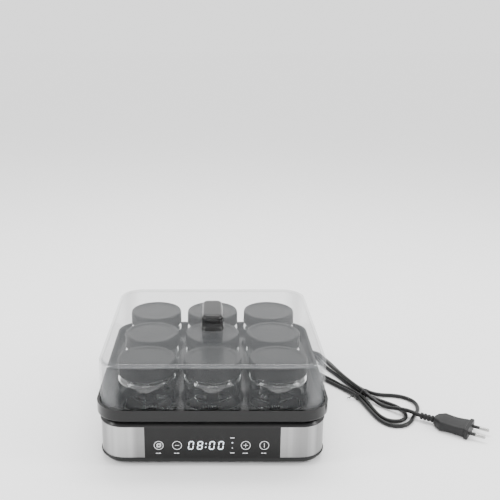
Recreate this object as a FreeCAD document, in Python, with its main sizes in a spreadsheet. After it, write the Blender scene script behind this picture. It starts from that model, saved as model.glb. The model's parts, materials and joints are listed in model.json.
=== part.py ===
"""A nine-jar yogurt maker: heated base, jar rack, nine screw-capped jars and a clear cover.

Frame: millimetres, +Z up, the floor at z = 0, the control panel facing -Y.  The origin is
on the floor under the middle of the base.
"""
import FreeCAD, Part
import math
import os
import Sketcher

doc = FreeCAD.newDocument("yogurt_maker")
dim = doc.addObject("Spreadsheet::Sheet", "dim")

# The dimensions, in millimetres and degrees.  Heights are measured from the floor.  A text that
# starts with "=" is a size that follows from the ones above it.
DIMENSIONS = [
    ("cap_radius", 33, "screw cap"),
    ("cap_height", 16, "screw cap"),
    ("cap_wall", 2, "screw cap"),
    ("cap_ring", 6.5, "raised ring round the sunk disc of the cap"),
    ("cap_recess_depth", 0.7, "sunk disc on the cap"),
    ("seal_thickness", 0.5, "sealing disc in the cap"),
    ("clearance", 0.3, "gap between pieces that lift apart"),
    ("thread_gap", 1.4, "mouth of the jar to the wall of the cap"),
    ("jar_height", 79.9, "glass jar without its cap"),
    ("jar_wall", 2.6, "glass"),
    ("jar_foot_inset", 7.7, "standing ring inside the jar's wall"),
    ("jar_neck_height", 14.4, "mouth above the shoulder"),
    ("jar_radius", "=cap_radius - clearance", "glass jar"),
    ("jar_foot_radius", "=jar_radius - jar_foot_inset", "standing ring of the jar"),
    ("jar_neck_radius", "=cap_radius - cap_wall - thread_gap", "mouth of the jar, outer"),
    ("hole_gap", 2.3, "cap to the edge of the jar hole"),
    ("jar_web", 3.4, "rack between two jar holes"),
    ("hole_radius", "=cap_radius + hole_gap", "jar hole of the rack"),
    ("jar_pitch", "=2 * hole_radius + jar_web", "jar to jar"),
    ("recess_margin", 1.5, "recess outside the outer jar places"),
    ("recess_width", "=3 * jar_pitch + 2 * recess_margin", "opening of the heated recess"),
    ("recess_corner", 17, "plan radius of the recess"),
    ("rim_thickness", 8.25, "raised rim that carries the rack"),
    ("rim_height", 4.3, "raised rim above the ledge"),
    ("rim_width", "=recess_width + 2 * rim_thickness", "raised rim, outer"),
    ("ledge_width", 4.25, "ledge outside the rim"),
    ("ledge_chamfer", 2.4, "slope of the ledge to its outer edge"),
    ("base_width", "=rim_width + 2 * ledge_width", "ledge of the base, both ways"),
    ("base_corner", 29, "plan radius of the ledge"),
    ("rim_corner", "=base_corner - 4", "plan radius of the rim"),
    ("foot_height", 3, "rubber foot below the shell"),
    ("foot_radius", 7, "rubber foot"),
    ("foot_inset", 29, "feet from the side of the ledge"),
    ("foot_offset", "=base_width / 2 - foot_inset", "feet from the middle, both ways"),
    ("shell_height", 7.4, "bottom shell, from the feet to the steel band"),
    ("shell_inset", 3, "bottom shell narrows under its lip"),
    ("shell_wall", 2.2, "moulded wall of both housings"),
    ("shell_lip", 1.8, "lip of the bottom shell under the steel band"),
    ("band_height", 38, "steel band"),
    ("band_inset", 1, "steel band set in from the ledge"),
    ("band_thickness", 1, "steel sheet"),
    ("skirt_height", 3.4, "black edge above the band"),
    ("plate_level", 24.5, "top of the heating plate"),
    ("plate_thickness", 1.5, "aluminium heating plate"),
    ("plate_ridge", 2.5, "trim round the edge of the plate"),
    ("shield_height", 6, "heat shield under the plate"),
    ("post_radius", 2.9, "screw post in each corner of the base"),
    ("wall_middle", "=(base_width + recess_width) / 4 - (base_corner + recess_corner) / 2",
     "middle of the corner arcs of the base's wall and of the recess"),
    ("screw_offset", "=wall_middle + (base_corner + recess_corner - band_inset - band_thickness) / sqrt(8)",
     "housing screws from the middle, both ways"),
    ("panel_width", 148, "control panel"),
    ("panel_thickness", 2, "control panel"),
    ("panel_gap", 6, "space behind the panel's wall for the display and the touch springs"),
    ("key_radius", 5.2, "touch spring behind each printed key"),
    ("key_down", -38.6, "second key from the middle"),
    ("key_set", -58.6, "outer left key from the middle"),
    ("key_up", 36.2, "first right key from the middle"),
    ("key_power", 56.4, "outer right key from the middle"),
    ("key_drop", 2.9, "keys below the middle of the steel band"),
    ("board_thickness", 1.6, "circuit boards"),
    ("board_lift", 3.8, "power board above the floor of the shell"),
    ("board_width", 84, "power board"),
    ("board_depth", 60, "power board"),
    ("board_x", 20, "power board from the middle"),
    ("board_y", 45, "power board from the middle"),
    ("rack_overhang", 3, "rack outside the ledge"),
    ("rack_wall", 3, "upstanding wall of the rack"),
    ("rack_wall_height", 11, "wall above the rack's plate"),
    ("rack_plate", 2.4, "plate of the rack"),
    ("rack_width", "=base_width + 2 * rack_overhang", "rack, outer"),
    ("rack_corner", "=base_corner + rack_overhang", "plan radius of the rack"),
    ("collar_wall", 1.5, "collar round each hole"),
    ("collar_depth", 9.6, "collar below the plate of the rack"),
    ("leg_width", 14.6, "leg of the rack"),
    ("leg_thickness", 1.6, "leg of the rack"),
    ("leg_toe", 5, "turned-in toe of a leg"),
    ("toe_height", 1.5, "turned-in toe of a leg"),
    ("cover_gap", 1, "cover inside the rack's wall"),
    ("cover_width", "=rack_width - 2 * rack_wall - 2 * cover_gap", "clear cover, outer"),
    ("cover_corner", "=rack_corner - rack_wall - cover_gap", "plan radius of the cover"),
    ("cover_wall", 2.5, "clear cover"),
    ("cover_room", 10.3, "space between the caps and the cover"),
    ("cover_edge", 4, "rounded top edge of the cover"),
    ("handle_width", 27, "handle, side to side"),
    ("handle_length", 60, "handle, front to back"),
    ("handle_height", 17.8, "handle above its gasket"),
    ("handle_corner", 9, "plan radius of the handle"),
    ("handle_edge", 4, "rounded top edge of the handle"),
    ("gasket_thickness", 0.6, "gasket under the handle"),
    ("handle_screw_spacing", 32, "between the two handle screws"),
    ("cord_diameter", 5, "mains cord"),
    ("cord_exit_x", 48, "cord gland from the middle"),
    ("cord_exit_height", 17, "cord gland above the floor"),
    ("gland_radius", 4.1, "neck of the cord gland"),
    ("gland_flange", 2.2, "flange of the cord gland"),
    ("gland_length", 13, "cord gland behind the base"),
    ("hank_height", 12, "bundled cord lying on the floor"),
    ("plug_x", 256, "back of the plug's bend relief"),
    ("plug_y", -24.3, "back of the plug's bend relief"),
    ("plug_heading", -33.3, "direction of the plug on the floor, degrees"),
    ("plug_relief", 17.7, "bend relief of the plug"),
    ("plug_length", 42.5, "moulded plug without its bend relief"),
    ("plug_thickness", 13.6, "flat two-pin plug"),
    ("pin_radius", 2, "round plug pin"),
    ("pin_length", 19, "round plug pin"),
    ("pin_spacing", 18.6, "between the two pins"),
]
for row, (alias, number, note) in enumerate(DIMENSIONS, 1):
    dim.set(f"A{row}", alias)
    dim.set(f"B{row}", str(number))
    dim.set(f"C{row}", note)
    dim.setAlias(f"B{row}", alias)
doc.recompute()

# Levels and widths that follow from the driving dimensions.
BAND_BOTTOM = "(dim.foot_height + dim.shell_height)"
BAND_TOP = f"({BAND_BOTTOM} + dim.band_height)"
LEDGE_TOP = f"({BAND_TOP} + dim.skirt_height)"
RIM_TOP = f"({LEDGE_TOP} + dim.rim_height)"
PLATE_TOP = "dim.plate_level"
PLATE_BOTTOM = f"({PLATE_TOP} - dim.plate_thickness)"
SHELL_FLOOR = "(dim.foot_height + dim.shell_wall)"
SHIELD_BOTTOM = f"({PLATE_BOTTOM} - dim.shield_height)"
BAND_WIDTH = "(dim.base_width - 2 * dim.band_inset)"
BAND_CORNER = "(dim.base_corner - dim.band_inset)"
WALL_WIDTH = f"({BAND_WIDTH} - 2 * dim.band_thickness)"
WALL_CORNER = f"({BAND_CORNER} - dim.band_thickness)"
WALL_FACE = f"({WALL_WIDTH} / 2)"
KEY_HEIGHT = f"({BAND_BOTTOM} + dim.band_height / 2 - dim.key_drop)"
RACK_BOTTOM = f"({RIM_TOP} + dim.clearance)"
RACK_TOP = f"({RACK_BOTTOM} + dim.rack_plate)"
JAR_BOTTOM = f"({PLATE_TOP} + dim.clearance)"
JAR_TOP = f"({JAR_BOTTOM} + dim.jar_height)"
SEAL_BOTTOM = f"({JAR_TOP} + dim.clearance)"
CAP_TOP = f"({SEAL_BOTTOM} + dim.seal_thickness + dim.clearance + dim.cap_wall)"
COVER_BOTTOM = f"({RACK_TOP} + dim.clearance)"
COVER_TOP = f"({CAP_TOP} + dim.cover_room + dim.cover_wall)"
HANDLE_BOTTOM = f"({COVER_TOP} + dim.gasket_thickness)"

parts = []


def value(expression):
    """The number that an expression of the sheet's aliases gives."""
    return float(dim.evalExpression(expression))


def new_part(name, x="0", y="0"):
    """A body, placed by the sheet, whose label names its file."""
    body = doc.addObject("PartDesign::Body", name)
    body.Label = name
    body.setExpression("Placement.Base.x", x)
    body.setExpression("Placement.Base.y", y)
    parts.append(body)
    return body


def attach(body, feature, plane, x, y, z):
    """Puts a sketch or primitive on one of the body's origin planes, offset by the sheet."""
    support = [item for item in body.Origin.OriginFeatures if item.Role == plane][0]
    feature.AttachmentSupport = [(support, "")]
    feature.MapMode = "FlatFace"
    feature.setExpression("AttachmentOffset.Base.x", x)
    feature.setExpression("AttachmentOffset.Base.y", y)
    feature.setExpression("AttachmentOffset.Base.z", z)


def rounded_sketch(body, width, depth, corner, x, y, z):
    """A fully constrained rounded rectangle, parallel to the floor."""
    sketch = body.newObject("Sketcher::SketchObject", "outline")
    attach(body, sketch, "XY_Plane", x, y, z)
    half_x, half_y, radius = value(width) / 2, value(depth) / 2, value(corner)
    run_x, run_y = half_x - radius, half_y - radius
    point = FreeCAD.Vector
    ends = [((-run_x, -half_y), (run_x, -half_y)), ((half_x, -run_y), (half_x, run_y)),
            ((run_x, half_y), (-run_x, half_y)), ((-half_x, run_y), (-half_x, -run_y))]
    for start, end in ends:
        sketch.addGeometry(Part.LineSegment(point(*start, 0), point(*end, 0)), False)
    for quarter, (centre_x, centre_y) in enumerate(
            [(run_x, -run_y), (run_x, run_y), (-run_x, run_y), (-run_x, -run_y)]):
        circle = Part.Circle(point(centre_x, centre_y, 0), point(0, 0, 1), radius)
        begin = (quarter - 1) * math.pi / 2
        sketch.addGeometry(Part.ArcOfCircle(circle, begin, begin + math.pi / 2), False)
    START, END, CENTRE, ORIGIN = 1, 2, 3, -1
    for side in range(4):
        arc = 4 + side
        sketch.addConstraint(Sketcher.Constraint("Tangent", side, END, arc, START))
        sketch.addConstraint(Sketcher.Constraint("Tangent", arc, END, (side + 1) % 4, START))
        sketch.addConstraint(Sketcher.Constraint("Horizontal" if side % 2 == 0 else "Vertical", side))
    for arc in (4, 5, 6):
        sketch.addConstraint(Sketcher.Constraint("Equal", arc, arc + 1))
    sketch.addConstraint(Sketcher.Constraint("Symmetric", 4, CENTRE, 6, CENTRE, ORIGIN, 1))
    for name, expression, constraint in (
            ("width", width, Sketcher.Constraint("DistanceX", 3, START, 1, START, 2 * half_x)),
            ("depth", depth, Sketcher.Constraint("DistanceY", 0, START, 2, START, 2 * half_y)),
            ("corner", corner, Sketcher.Constraint("Radius", 4, radius))):
        index = sketch.addConstraint(constraint)
        sketch.renameConstraint(index, name)
        sketch.setExpression(f"Constraints.{name}", expression)
    return sketch


def slab(body, bottom, height, width, depth, corner, x="0", y="0", cut=False):
    """Adds or cuts a rounded plate whose lower face is at the given level."""
    sketch = rounded_sketch(body, width, depth, corner, x, y, bottom)
    kind = "PartDesign::Pocket" if cut else "PartDesign::Pad"
    feature = body.newObject(kind, "cut" if cut else "slab")
    feature.Profile = sketch
    feature.Reversed = cut
    feature.setExpression("Length", height)
    return feature


def disc(body, bottom, height, radius, x="0", y="0", cut=False, plane="XY_Plane"):
    """Adds or cuts a cylinder that stands on a plane of the body."""
    kind = "PartDesign::SubtractiveCylinder" if cut else "PartDesign::AdditiveCylinder"
    feature = body.newObject(kind, "bore" if cut else "disc")
    attach(body, feature, plane, x, y, bottom)
    feature.setExpression("Radius", radius)
    feature.setExpression("Height", height)
    return feature


def block(body, x, y, z, width, depth, height, cut=False):
    """Adds or cuts a square block; x and y are its middle and z is its lower face."""
    kind = "PartDesign::SubtractiveBox" if cut else "PartDesign::AdditiveBox"
    feature = body.newObject(kind, "notch" if cut else "block")
    attach(body, feature, "XY_Plane", f"{x} - ({width}) / 2", f"{y} - ({depth}) / 2", z)
    feature.setExpression("Length", width)
    feature.setExpression("Width", depth)
    feature.setExpression("Height", height)
    return feature


def round_edges(body, radius, level, kind="PartDesign::Fillet", reach=None):
    """Rounds the edges of the body that lie flat at a level, or those within a reach."""
    doc.recompute()
    shape = body.Tip.Shape
    height, names = value(level), []
    for index, edge in enumerate(shape.Edges, 1):
        box = edge.BoundBox
        flat = abs(box.ZMin - height) < 1e-4 and abs(box.ZMax - height) < 1e-4
        inside = reach is None or reach(box)
        if flat and inside:
            names.append(f"Edge{index}")
    feature = body.newObject(kind, "rounding")
    feature.Base = (body.Tip if feature.BaseFeature is None else feature.BaseFeature, names)
    feature.setExpression("Size" if kind.endswith("Chamfer") else "Radius", radius)
    return feature


def corners(offset):
    """The four corners of a square, as expressions."""
    return [(f"{sx} * {offset}", f"{sy} * {offset}") for sx in (-1, 1) for sy in (-1, 1)]


# ---------------------------------------------------------------- primitives and groups

def cylinder(x, y, z, radius, height, along="z"):
    """A round bar; along y it runs backwards from the point."""
    item = doc.addObject("Part::Cylinder", "bar")
    item.setExpression("Radius", radius)
    item.setExpression("Height", height)
    if along == "y":
        item.Placement.Rotation = FreeCAD.Rotation(FreeCAD.Vector(1, 0, 0), -90)
    if along == "x":
        item.Placement.Rotation = FreeCAD.Rotation(FreeCAD.Vector(0, 1, 0), 90)
    place(item, x, y, z)
    return item


def cuboid(x, y, z, width, depth, height):
    """A block; x and y are its middle and z is its lower face."""
    item = doc.addObject("Part::Box", "slab")
    for name, expression in (("Length", width), ("Width", depth), ("Height", height)):
        item.setExpression(name, expression)
    place(item, f"{x} - ({width}) / 2", f"{y} - ({depth}) / 2", z)
    return item


def place(item, x, y, z):
    """Binds an object's position to the sheet."""
    for axis, expression in zip("xyz", (x, y, z)):
        item.setExpression(f"Placement.Base.{axis}", expression)


def group(name, items):
    """Separate solids that share one node."""
    compound = doc.addObject("Part::Compound", name)
    compound.Label = name
    compound.Links = items
    parts.append(compound)
    return compound


def joined(name, items):
    """Touching solids made one, as a sub-part of its own."""
    fusion = fuse(items)
    fusion.Label = name
    parts.append(fusion)
    return fusion


def fuse(items):
    """Touching solids made one."""
    fusion = doc.addObject("Part::MultiFuse", "fused")
    fusion.Shapes = items
    return fusion


def part_of(name, item):
    """Names one primitive or feature as a sub-part."""
    item.Label = name
    parts.append(item)
    return item


def feature(name, shape):
    """A sub-part made from a shape."""
    item = doc.addObject("Part::Feature", name)
    item.Shape = shape
    return part_of(name, item)


# ---------------------------------------------------------------- base: housings and shell

SCREW_GAP, GLAND_GAP, FOOT_SEAT = "0.1", "0.2", "0.8"
POST_SCREW, POST_SCREW_HEAD, POST_SCREW_LENGTH = "1.25", "2.5", "20"
BOARD_SCREW, BOARD_SCREW_HEAD = "1.05", "2"


def make_bottom_housing():
    """The shallow tray under the base, with its bosses, foot seats and board posts."""
    body = new_part("bottom_housing")
    tray = "(dim.base_width - 2 * dim.shell_inset)"
    tray_corner = "(dim.base_corner - dim.shell_inset)"
    slab(body, "dim.foot_height", "dim.shell_height", tray, tray, tray_corner)
    round_edges(body, "dim.shell_wall * 1.5", "dim.foot_height")
    slab(body, f"{BAND_BOTTOM} - dim.shell_lip", "dim.shell_lip", "dim.base_width", "dim.base_width",
         "dim.base_corner")
    inside = f"({tray} - 2 * dim.shell_wall)"
    slab(body, SHELL_FLOOR, "dim.shell_height", inside, inside, f"({tray_corner} - dim.shell_wall)", cut=True)
    for x, y in corners("dim.screw_offset"):
        disc(body, SHELL_FLOOR, f"{BAND_BOTTOM} - {SHELL_FLOOR}", "dim.post_radius + 1.1", x, y)
        disc(body, "dim.foot_height", "dim.shell_height", f"{POST_SCREW} + {SCREW_GAP}", x, y, cut=True)
        disc(body, "dim.foot_height", "dim.shell_wall", f"{POST_SCREW_HEAD} + {SCREW_GAP}", x, y, cut=True)
    for x, y in corners("dim.foot_offset"):
        disc(body, "dim.foot_height", FOOT_SEAT, "dim.foot_radius + 0.1", x, y, cut=True)
    for x, y in board_posts():
        disc(body, SHELL_FLOOR, "dim.board_lift", "2.6", x, y)
        disc(body, SHELL_FLOOR, "dim.board_lift", f"{BOARD_SCREW} + {SCREW_GAP}", x, y, cut=True)
    return body


def make_top_housing():
    """The ledge, the rim and the wall of the recess, with the wall behind the steel band."""
    body = new_part("top_housing")
    slab(body, BAND_TOP, "dim.skirt_height", "dim.base_width", "dim.base_width", "dim.base_corner")
    round_edges(body, "dim.ledge_chamfer", LEDGE_TOP, "PartDesign::Chamfer")
    slab(body, LEDGE_TOP, "dim.rim_height", "dim.rim_width", "dim.rim_width", "dim.rim_corner")
    slab(body, BAND_BOTTOM, "dim.band_height", WALL_WIDTH, WALL_WIDTH, WALL_CORNER)
    hollow = f"({WALL_WIDTH} - 2 * dim.shell_wall)"
    slab(body, BAND_BOTTOM, "dim.band_height", hollow, hollow, f"({WALL_CORNER} - dim.shell_wall)", cut=True)
    sleeve = "(dim.recess_width + 2 * dim.shell_wall)"
    slab(body, PLATE_TOP, f"{BAND_TOP} - {PLATE_TOP}", sleeve, sleeve,
         "dim.recess_corner + dim.shell_wall")
    slab(body, PLATE_TOP, f"{RIM_TOP} - {PLATE_TOP}", "dim.recess_width", "dim.recess_width",
         "dim.recess_corner", cut=True)
    for x, y in corners("dim.screw_offset"):
        disc(body, BAND_BOTTOM, "dim.band_height", "dim.post_radius", x, y)
        disc(body, BAND_BOTTOM, "15", f"{POST_SCREW} + {SCREW_GAP}", x, y, cut=True)
    # The window behind the control panel, and the hole for the cord gland.
    block(body, "0", f"-{WALL_FACE} + dim.shell_wall / 2", f"{BAND_BOTTOM} + 4", "dim.panel_width - 12",
          "dim.shell_wall + 0.02", "dim.band_height - 8", cut=True)
    disc(body, f"-{WALL_FACE} - 1", "dim.shell_wall + 2", f"dim.gland_radius + {GLAND_GAP}", "dim.cord_exit_x",
         "dim.cord_exit_height", cut=True, plane="XZ_Plane")
    return body


def make_steel_band():
    """Brushed sheet round the base, open where the control panel sits."""
    body = new_part("steel_band")
    slab(body, BAND_BOTTOM, "dim.band_height", BAND_WIDTH, BAND_WIDTH, BAND_CORNER)
    slab(body, BAND_BOTTOM, "dim.band_height", WALL_WIDTH, WALL_WIDTH, WALL_CORNER, cut=True)
    block(body, "0", f"-{WALL_FACE}", BAND_BOTTOM, "dim.panel_width", "10", "dim.band_height", cut=True)
    disc(body, f"-{WALL_FACE} - 2", "4", f"dim.gland_radius + {GLAND_GAP}", "dim.cord_exit_x",
         "dim.cord_exit_height", cut=True, plane="XZ_Plane")
    return body


def make_control_panel():
    """The glossy panel in the gap of the steel band."""
    body = new_part("control_panel")
    block(body, "0", f"-{WALL_FACE} - dim.panel_thickness / 2", BAND_BOTTOM,
          "dim.panel_width", "dim.panel_thickness", "dim.band_height")
    return body


# ---------------------------------------------------------------- base: what is inside

BOARD_BOTTOM = f"({SHELL_FLOOR} + dim.board_lift)"
BOARD_TOP = f"({BOARD_BOTTOM} + dim.board_thickness)"


def board_posts():
    """Where the power board's four screws stand."""
    edge = "5"
    return [(f"(dim.board_x + {sx} * (dim.board_width / 2 - {edge}))",
             f"(dim.board_y + {sy} * (dim.board_depth / 2 - {edge}))")
            for sx in (-1, 1) for sy in (-1, 1)]


def make_rubber_feet():
    """Four round feet, pressed into the tray."""
    return group("rubber_feet", [
        cylinder(x, y, "0", "dim.foot_radius", f"dim.foot_height + {FOOT_SEAT}")
        for x, y in corners("dim.foot_offset")])


def make_housing_screws():
    """The screws that hold the two housings together."""
    start = "dim.foot_height + 0.3"
    return group("housing_screws", [
        fuse([cylinder(x, y, start, POST_SCREW_HEAD, "dim.shell_wall - 0.3"),
              cylinder(x, y, start, POST_SCREW, POST_SCREW_LENGTH)])
        for x, y in corners("dim.screw_offset")])


def make_board_screws():
    """The screws of the power board."""
    depth = "4.5"
    return group("board_screws", [
        fuse([cylinder(x, y, BOARD_TOP, BOARD_SCREW_HEAD, "1.2"),
              cylinder(x, y, f"{BOARD_TOP} - {depth}", BOARD_SCREW, f"{depth} + 0.5")])
        for x, y in board_posts()])


def make_power_board():
    """The board with its transformer, relay, capacitor and terminal block."""
    def on_board(right, back, width, depth, height):
        return cuboid(f"dim.board_x + {right}", f"dim.board_y + {back}", BOARD_TOP, width, depth, height)
    board = cuboid("dim.board_x", "dim.board_y", BOARD_BOTTOM, "dim.board_width", "dim.board_depth",
                   "dim.board_thickness")
    transformer, relay = on_board("-15", "5", "18", "16", "5"), on_board("8", "7", "15", "12", "5")
    terminals = on_board("0", "-15", "22", "8", "4.5")
    capacitor = cylinder("dim.board_x + 24", "dim.board_y - 9", BOARD_TOP, "4", "5")
    holes = [cylinder(x, y, f"{BOARD_BOTTOM} - 1", f"{BOARD_SCREW} + {SCREW_GAP}", "dim.board_thickness + 2")
             for x, y in board_posts()]
    pierced = doc.addObject("Part::Cut", "power_board")
    pierced.Base = fuse([board, transformer, relay, terminals, capacitor])
    pierced.Tool = fuse(holes)
    return part_of("power_board", pierced)


def make_control_board():
    """The upright board behind the display and the touch springs."""
    y = f"(-{WALL_FACE} + dim.panel_gap + dim.board_thickness / 2)"
    bottom = f"({SHELL_FLOOR} + 3)"
    return part_of("control_board", cuboid("0", y, bottom, "dim.panel_width - 10", "dim.board_thickness",
                                           f"{BAND_TOP} - 4.2 - {bottom}"))


def make_display_module():
    """The clock's display, on the control board."""
    height = "16"
    return part_of("display_module", cuboid("-2", f"(-{WALL_FACE} + dim.panel_gap / 2)",
                                            f"{KEY_HEIGHT} - {height} / 2", "62", "dim.panel_gap", height))


def make_touch_springs():
    """One sprung pad behind each key."""
    keys = ("dim.key_set", "dim.key_down", "dim.key_up", "dim.key_power")
    return group("touch_springs", [
        cylinder(x, f"-{WALL_FACE}", KEY_HEIGHT, "dim.key_radius", "dim.panel_gap", along="y")
        for x in keys])


DIMPLE_RADIUS, DIMPLE_DEPTH, PLATE_SCREW = "4.7", "1.3", "1.5"


def make_plate_trim():
    """The thin bare-metal trim that stands round the edge of the heating plate."""
    body = new_part("plate_trim")
    gap, sheet = "0.1", "1.1"
    outer, inner = f"dim.recess_width - 2 * {gap}", f"dim.recess_width - 2 * ({gap} + {sheet})"
    slab(body, PLATE_TOP, "dim.plate_ridge", outer, outer, f"dim.recess_corner - {gap}")
    slab(body, PLATE_TOP, "dim.plate_ridge", inner, inner, f"dim.recess_corner - {gap} - {sheet}", cut=True)
    return body


def make_heating_plate():
    """The floor of the recess, with a dimple for its screw."""
    body = new_part("heating_plate")
    pan = "(dim.recess_width + 2 * dim.shell_wall)"
    slab(body, PLATE_BOTTOM, "dim.plate_thickness", pan, pan, "dim.recess_corner + dim.shell_wall")
    disc(body, f"{PLATE_BOTTOM} - 1.2", "1.2", f"{DIMPLE_RADIUS} + 1.3")
    disc(body, f"{PLATE_TOP} - {DIMPLE_DEPTH}", DIMPLE_DEPTH, DIMPLE_RADIUS, cut=True)
    disc(body, f"{PLATE_BOTTOM} - 1.2", "dim.plate_thickness + 1.5", f"{PLATE_SCREW} + {SCREW_GAP}", cut=True)
    return body


def make_plate_screw():
    """The screw in the middle of the plate, which holds the shield under it."""
    seat = f"({PLATE_TOP} - {DIMPLE_DEPTH})"
    bottom = f"({SHIELD_BOTTOM} - 2)"
    return joined("plate_screw", [cylinder("0", "0", seat, "2.6", "1.1"),
                                  cylinder("0", "0", bottom, PLATE_SCREW, f"{seat} - {bottom}")])


ELEMENT_WIDTH, ELEMENT_HOLE, ELEMENT_THICKNESS = "(dim.recess_width - 35)", "110", "2"


def make_heating_element():
    """A flat ring heater pressed under the plate."""
    body = new_part("heating_element")
    bottom = f"{PLATE_BOTTOM} - {ELEMENT_THICKNESS}"
    slab(body, bottom, ELEMENT_THICKNESS, ELEMENT_WIDTH, ELEMENT_WIDTH, "40")
    slab(body, bottom, ELEMENT_THICKNESS, ELEMENT_HOLE, ELEMENT_HOLE, "25", cut=True)
    return body


def make_heat_shield():
    """A shallow pressed tray that keeps the heat off the boards."""
    body = new_part("heat_shield")
    sheet, gap = "1", "1.5"
    outer, inner = f"dim.recess_width - 2 * {gap}", f"dim.recess_width - 2 * ({gap} + {sheet})"
    slab(body, SHIELD_BOTTOM, "dim.shield_height", outer, outer, "dim.recess_corner")
    slab(body, f"{SHIELD_BOTTOM} + {sheet}", "dim.shield_height", inner, inner, f"dim.recess_corner - {sheet}",
         cut=True)
    disc(body, f"{SHIELD_BOTTOM} - 1", "3", f"{PLATE_SCREW} + {SCREW_GAP}", cut=True)
    return body


def make_temperature_sensor():
    """The sensor pressed to the plate, inside the ring of the heater."""
    return part_of("temperature_sensor", cuboid("0", "30", f"{PLATE_BOTTOM} - 4", "8", "8", "4"))


def make_thermal_fuse():
    """The fuse that opens if the plate gets too hot."""
    return part_of("thermal_fuse", cylinder("-6", "-30", f"{PLATE_BOTTOM} - 2.1", "2", "12", along="x"))


def make_wiring_loom():
    """The wires along the floor of the shell, from the power board to the control board."""
    start = f"(-{WALL_FACE} + dim.panel_gap + dim.board_thickness)"
    board_edge = "(dim.board_y - dim.board_depth / 2)"
    height = f"({BOARD_BOTTOM} + dim.board_thickness / 2)"
    wires = [cylinder(x, start, height, "1.1", f"{board_edge} - {start}", along="y")
             for x in ("10", "12.8", "15.6")]
    return group("wiring_loom", wires)


CLAMP_DEPTH, CLAMP_HEIGHT = "7", f"(dim.cord_exit_height + 3.7 - {SHELL_FLOOR})"
GLAND_INSIDE = "2"
CLAMP_Y = f"({WALL_FACE} - dim.shell_wall - {GLAND_INSIDE} - {CLAMP_DEPTH} / 2)"


def make_cord_clamp():
    """The saddle that holds the cord inside the shell."""
    return part_of("cord_clamp", cuboid("dim.cord_exit_x", CLAMP_Y, SHELL_FLOOR, "20", CLAMP_DEPTH,
                                        CLAMP_HEIGHT))


def make_clamp_screws():
    """The two screws of the saddle."""
    return group("clamp_screws", [
        cylinder(f"dim.cord_exit_x + {side} * 6.5", CLAMP_Y, f"{SHELL_FLOOR} + {CLAMP_HEIGHT}", "2", "1.5")
        for side in (-1, 1)])


# ---------------------------------------------------------------- mains cord

def make_cord_gland():
    """A flanged bush through the rear wall with a tapered bend relief."""
    x, z = "dim.cord_exit_x", "dim.cord_exit_height"
    outside = f"({WALL_FACE} + dim.band_thickness)"
    neck_start = f"({WALL_FACE} - dim.shell_wall - {GLAND_INSIDE})"
    neck = cylinder(x, neck_start, z, "dim.gland_radius", f"{outside} - {neck_start}", along="y")
    flange = cylinder(x, outside, z, "dim.gland_radius + 2.4", "dim.gland_flange", along="y")
    relief = doc.addObject("Part::Cone", "relief")
    relief.setExpression("Radius1", "dim.gland_radius + 0.7")
    relief.setExpression("Radius2", "dim.cord_diameter / 2 + 0.9")
    relief.setExpression("Height", "dim.gland_length - dim.gland_flange")
    relief.Placement.Rotation = FreeCAD.Rotation(FreeCAD.Vector(1, 0, 0), -90)
    place(relief, x, f"{outside} + dim.gland_flange", z)
    return joined("cord_gland", [neck, flange, relief])


def cord_route():
    """Hand-placed points, from the gland down to the floor and into the hank."""
    x = value("dim.cord_exit_x")
    y = value(f"{WALL_FACE} + dim.band_thickness + dim.gland_length")
    z = value("dim.cord_exit_height")
    low = value("dim.cord_diameter / 2 + 0.1")
    steps = [(0, 0, z), (0, 18, z), (6, 35, 12), (19, 47, 6.5), (36, 53, low), (54, 53, low)]
    return [FreeCAD.Vector(x + right, y + back, height) for right, back, height in steps]


def make_mains_cord():
    """Straight runs joined by arcs that are tangent to them, swept by the cord's section."""
    points = cord_route()
    radius = value("dim.cord_diameter / 2")
    edges, start, length = [], points[0], 0
    for before, corner, after in zip(points, points[1:], points[2:]):
        run_in, run_out = corner - before, after - corner
        turn = run_in.getAngle(run_out)
        reach = 0.45 * min(run_in.Length, run_out.Length)
        bend = reach / math.tan(turn / 2)
        print(f"cord bend radius {bend:.1f} mm")
        ahead, behind = FreeCAD.Vector(run_out).normalize(), FreeCAD.Vector(run_in).normalize()
        begin, end = corner - behind * reach, corner + ahead * reach
        inward = (ahead - behind).normalize()
        middle = corner + inward * (bend / math.cos(turn / 2) - bend)
        edges += [Part.LineSegment(start, begin).toShape(), Part.Arc(begin, middle, end).toShape()]
        length += start.distanceToPoint(begin) + bend * turn
        start = end
    edges.append(Part.LineSegment(start, points[-1]).toShape())
    length += start.distanceToPoint(points[-1])
    heading = points[1] - points[0]
    section = Part.Wire(Part.makeCircle(radius, points[0], heading))
    tube = Part.Wire(edges).makePipeShell([section], True, False)
    assert abs(tube.Volume / (math.pi * radius ** 2 * length) - 1) < 0.01, "the cord's volume is wrong"
    print(f"cord outside the hank {length:.0f} mm")
    return feature("mains_cord", tube)


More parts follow.
